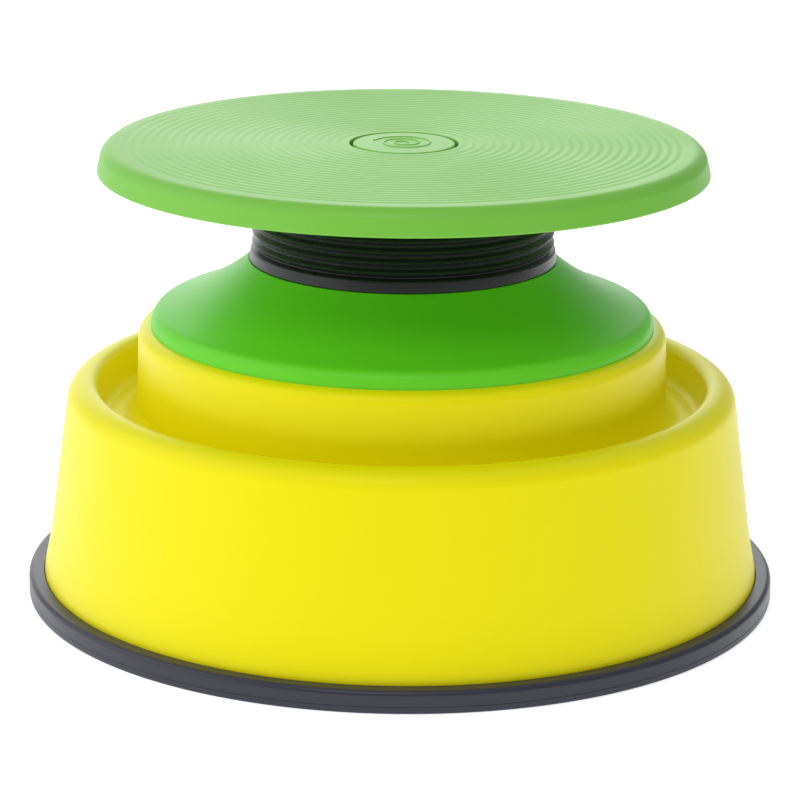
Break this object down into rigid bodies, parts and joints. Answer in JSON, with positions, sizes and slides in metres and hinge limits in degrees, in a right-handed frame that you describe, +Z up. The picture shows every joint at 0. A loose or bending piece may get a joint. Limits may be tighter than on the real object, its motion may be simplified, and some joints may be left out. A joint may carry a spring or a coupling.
{
  "type": "pottery wheel",
  "caption": "Tabletop pottery wheel: grooved round wheel head on a ribbed neck and cone cover over a splash base with a moat and a rubber foot ring.",
  "frame": {"origin": "bottom centre of the foot ring", "axes": "+Z up along the wheel's spin axis, -Y to the front, the switch at +Y"},
  "size_m": [0.2514, 0.2514, 0.152],
  "materials": {
    "yellow_shell": "satin moulded",
    "green_head": "satin moulded",
    "green_cover": "satin moulded",
    "foot_rubber": "matte",
    "boot_rubber": "matte",
    "charcoal_plastic": "fine texture",
    "black_plastic": "gloss",
    "screw_steel": "zinc plated",
    "shaft_steel": "ground",
    "motor_steel": "zinc plated",
    "contact_nickel": "nickel plated",
    "bush_bronze": "sintered",
    "battery_sleeve": "printed sleeve",
    "magnet_ferrite": "ferrite",
    "endcap_plastic": "moulded",
    "gear_nylon": "moulded",
    "washer_nylon": "moulded",
    "wire_red": "insulation",
    "wire_black": "insulation"
  },
  "bodies": {
    "base": {"splash_base": "yellow_shell", "foot_ring": "foot_rubber", "bottom_plate": "charcoal_plastic", "battery_door": "charcoal_plastic", "door_screw": "screw_steel", "case_screws": "screw_steel", "battery_cell_1": "battery_sleeve", "battery_cell_2": "battery_sleeve", "battery_cell_3": "battery_sleeve", "battery_cell_4": "battery_sleeve", "contact_plates": "contact_nickel", "contact_springs": "contact_nickel", "bearing_housing": "charcoal_plastic", "housing_screws": "screw_steel", "upper_bush": "bush_bronze", "lower_bush": "bush_bronze", "thrust_washer": "washer_nylon", "gear_plate": "charcoal_plastic", "gear_plate_screws": "screw_steel", "motor_screws": "screw_steel", "idler_pin": "shaft_steel", "motor_can": "motor_steel", "motor_endcap": "endcap_plastic", "motor_magnets": "magnet_ferrite", "cone_cover": "green_cover", "cover_screws": "screw_steel", "neck_boot": "boot_rubber", "switch_housing": "black_plastic", "switch_terminals": "contact_nickel", "battery_to_switch_wire": "wire_red", "switch_to_motor_wire": "wire_red", "battery_to_motor_wire": "wire_black"},
    "wheel": {"wheel_head": "green_head", "head_cap": "green_head", "head_washer": "screw_steel", "head_screw": "screw_steel", "spindle": "shaft_steel", "main_gear": "gear_nylon", "drive_pin": "shaft_steel", "retaining_clip": "shaft_steel", "clip_washer": "washer_nylon"},
    "idler": {"idler_gear": "gear_nylon"},
    "rotor": {"armature": "motor_steel", "motor_shaft": "shaft_steel", "motor_pinion": "bush_bronze"},
    "rocker": {"rocker": "black_plastic"}
  },
  "joints": [
    {"name": "wheel_spin", "type": "hinge", "parent": "base", "child": "wheel", "pos_m": [0, 0, 0.12], "axis": [0, 0, 1], "continuous": true},
    {"name": "idler_spin", "type": "hinge", "parent": "base", "child": "idler", "pos_m": [0, 0.036, 0.078], "axis": [0, 0, 1], "continuous": true},
    {"name": "rotor_spin", "type": "hinge", "parent": "base", "child": "rotor", "pos_m": [0, 0.06, 0.06], "axis": [0, 0, 1], "continuous": true},
    {"name": "rocker_tilt", "type": "hinge", "parent": "base", "child": "rocker", "pos_m": [0, 0.1086, 0.038], "axis": [0, 0, 1], "range_deg": [-10, 10]}
  ],
  "couplings": [
    {"joint": "idler_spin", "follows": "wheel_spin", "ratio": -5},
    {"joint": "rotor_spin", "follows": "wheel_spin", "ratio": 20}
  ]
}
